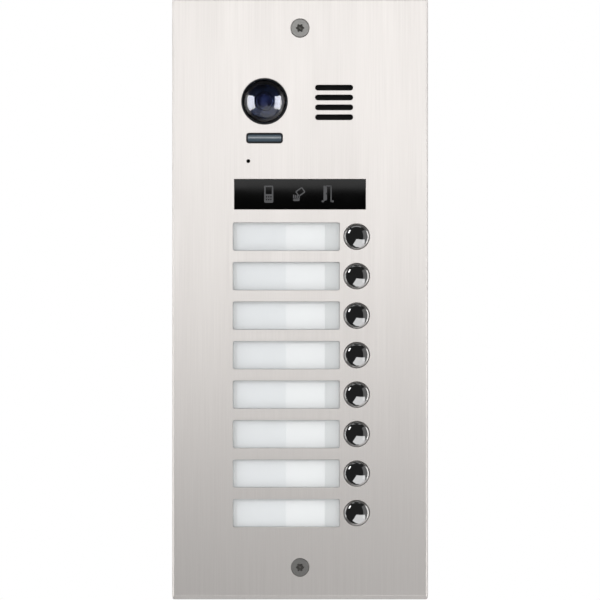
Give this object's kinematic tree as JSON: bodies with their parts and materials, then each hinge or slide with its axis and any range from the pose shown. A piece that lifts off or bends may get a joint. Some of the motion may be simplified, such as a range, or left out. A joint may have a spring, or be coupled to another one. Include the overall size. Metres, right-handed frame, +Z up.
{
  "type": "door intercom panel",
  "caption": "Flush-mounted video door entry panel: brushed steel plate with ball camera, speaker, dark status window and a column of domed call buttons beside name windows.",
  "frame": {"origin": "midway between the two fixing screws, on the wall plane where the gasket's rear face lies", "axes": "+Z up, +X to the visitor's right, +Y into the wall; the front faces -Y"},
  "size_m": [0.14, 0.0415, 0.33],
  "materials": {
    "plate_steel": "brushed stainless steel",
    "gasket_foam": "closed-cell foam",
    "stud_steel": "zinc-plated",
    "screw_steel": "plain stainless",
    "retainer_rubber": "matte",
    "bezel_black": "satin black",
    "dome_clear": "clear, hard-coated",
    "housing_black": "matte",
    "ball_black": "fine texture",
    "lens_barrel": "black anodised",
    "lens_glass": "coated glass",
    "board_green": "solder mask",
    "light_window": "translucent",
    "lamp_white": "resin",
    "membrane_black": "woven mesh",
    "speaker_steel": "zinc-plated",
    "cone_paper": "pressed",
    "magnet_grey": "ferrite",
    "boot_rubber": "matte",
    "capsule_metal": "satin",
    "status_black": "high gloss",
    "sign_grey": "printed",
    "carrier_white": "translucent white",
    "card_white": "printed film",
    "window_clear": "clear polycarbonate",
    "guide_grey": "moulded",
    "button_chrome": "polished",
    "spring_steel": "drawn wire",
    "switch_black": "moulded",
    "terminal_green": "moulded",
    "dip_red": "moulded",
    "slider_white": "moulded",
    "trimmer_blue": "moulded",
    "cover_black": "fine texture"
  },
  "bodies": {
    "panel": {"faceplate": "plate_steel", "wall_gasket": "gasket_foam", "weld_studs": "stud_steel", "stud_nuts": "stud_steel", "fixing_screws": "screw_steel", "screw_retainers": "retainer_rubber", "camera_bezel": "bezel_black", "camera_dome": "dome_clear", "camera_housing": "housing_black", "light_window": "light_window", "light_board": "board_green", "light_lamps": "lamp_white", "speaker_membrane": "membrane_black", "speaker_frame": "speaker_steel", "speaker_cone": "cone_paper", "speaker_magnet": "magnet_grey", "mic_boot": "boot_rubber", "mic_capsule": "capsule_metal", "upper_bracket": "housing_black", "status_window": "status_black", "status_signs": "sign_grey", "reader_board": "board_green", "name_carrier": "carrier_white", "name_cards": "card_white", "name_windows": "window_clear", "button_guides": "guide_grey", "keypad_board": "board_green", "keypad_switches": "switch_black", "main_board": "board_green", "board_screws": "stud_steel", "terminal_block": "terminal_green", "terminal_screws": "stud_steel", "dip_housing": "dip_red", "tamper_switch": "switch_black", "trimmer_body": "trimmer_blue", "rear_cover": "cover_black", "button_spring_1": "spring_steel", "button_spring_2": "spring_steel", "button_spring_3": "spring_steel", "button_spring_4": "spring_steel", "button_spring_5": "spring_steel", "button_spring_6": "spring_steel", "button_spring_7": "spring_steel", "button_spring_8": "spring_steel"},
    "camera": {"camera_ball": "ball_black", "lens_barrel": "lens_barrel", "lens_glass": "lens_glass", "camera_board": "board_green"},
    "tamper": {"tamper_plunger": "slider_white"},
    "volume": {"volume_dial": "slider_white"},
    "dip_1": {"dip_slider_1": "slider_white"},
    "dip_2": {"dip_slider_2": "slider_white"},
    "button_1": {"call_button_1": "button_chrome"},
    "button_2": {"call_button_2": "button_chrome"},
    "button_3": {"call_button_3": "button_chrome"},
    "button_4": {"call_button_4": "button_chrome"},
    "button_5": {"call_button_5": "button_chrome"},
    "button_6": {"call_button_6": "button_chrome"},
    "button_7": {"call_button_7": "button_chrome"},
    "button_8": {"call_button_8": "button_chrome"}
  },
  "joints": [
    {"name": "button_1_press", "type": "slide", "parent": "panel", "child": "button_1", "axis": [0, 1, 0], "range_m": [0, 0.0012], "stiffness_N_per_m": 800, "springref_m": -0.001, "deforming": ["button_spring_1"]},
    {"name": "button_2_press", "type": "slide", "parent": "panel", "child": "button_2", "axis": [0, 1, 0], "range_m": [0, 0.0012], "stiffness_N_per_m": 800, "springref_m": -0.001, "deforming": ["button_spring_2"]},
    {"name": "button_3_press", "type": "slide", "parent": "panel", "child": "button_3", "axis": [0, 1, 0], "range_m": [0, 0.0012], "stiffness_N_per_m": 800, "springref_m": -0.001, "deforming": ["button_spring_3"]},
    {"name": "button_4_press", "type": "slide", "parent": "panel", "child": "button_4", "axis": [0, 1, 0], "range_m": [0, 0.0012], "stiffness_N_per_m": 800, "springref_m": -0.001, "deforming": ["button_spring_4"]},
    {"name": "button_5_press", "type": "slide", "parent": "panel", "child": "button_5", "axis": [0, 1, 0], "range_m": [0, 0.0012], "stiffness_N_per_m": 800, "springref_m": -0.001, "deforming": ["button_spring_5"]},
    {"name": "button_6_press", "type": "slide", "parent": "panel", "child": "button_6", "axis": [0, 1, 0], "range_m": [0, 0.0012], "stiffness_N_per_m": 800, "springref_m": -0.001, "deforming": ["button_spring_6"]},
    {"name": "button_7_press", "type": "slide", "parent": "panel", "child": "button_7", "axis": [0, 1, 0], "range_m": [0, 0.0012], "stiffness_N_per_m": 800, "springref_m": -0.001, "deforming": ["button_spring_7"]},
    {"name": "button_8_press", "type": "slide", "parent": "panel", "child": "button_8", "axis": [0, 1, 0], "range_m": [0, 0.0012], "stiffness_N_per_m": 800, "springref_m": -0.001, "deforming": ["button_spring_8"]},
    {"name": "camera_tilt", "type": "hinge", "parent": "panel", "child": "camera", "pos_m": [-0.0194, 0.00095, 0.1074], "axis": [1, 0, 0], "range_deg": [-12, 12]},
    {"name": "tamper_press", "type": "slide", "parent": "panel", "child": "tamper", "axis": [0, -1, 0], "range_m": [0, 0.002], "stiffness_N_per_m": 300, "springref_m": -0.001},
    {"name": "volume_turn", "type": "hinge", "parent": "panel", "child": "volume", "pos_m": [0.02, 0.02, -0.0022], "axis": [0, 1, 0], "range_deg": [-135, 135]},
    {"name": "dip_1_slide", "type": "slide", "parent": "panel", "child": "dip_1", "axis": [0, 0, 1], "range_m": [0, 0.001]},
    {"name": "dip_2_slide", "type": "slide", "parent": "panel", "child": "dip_2", "axis": [0, 0, 1], "range_m": [0, 0.001]}
  ]
}
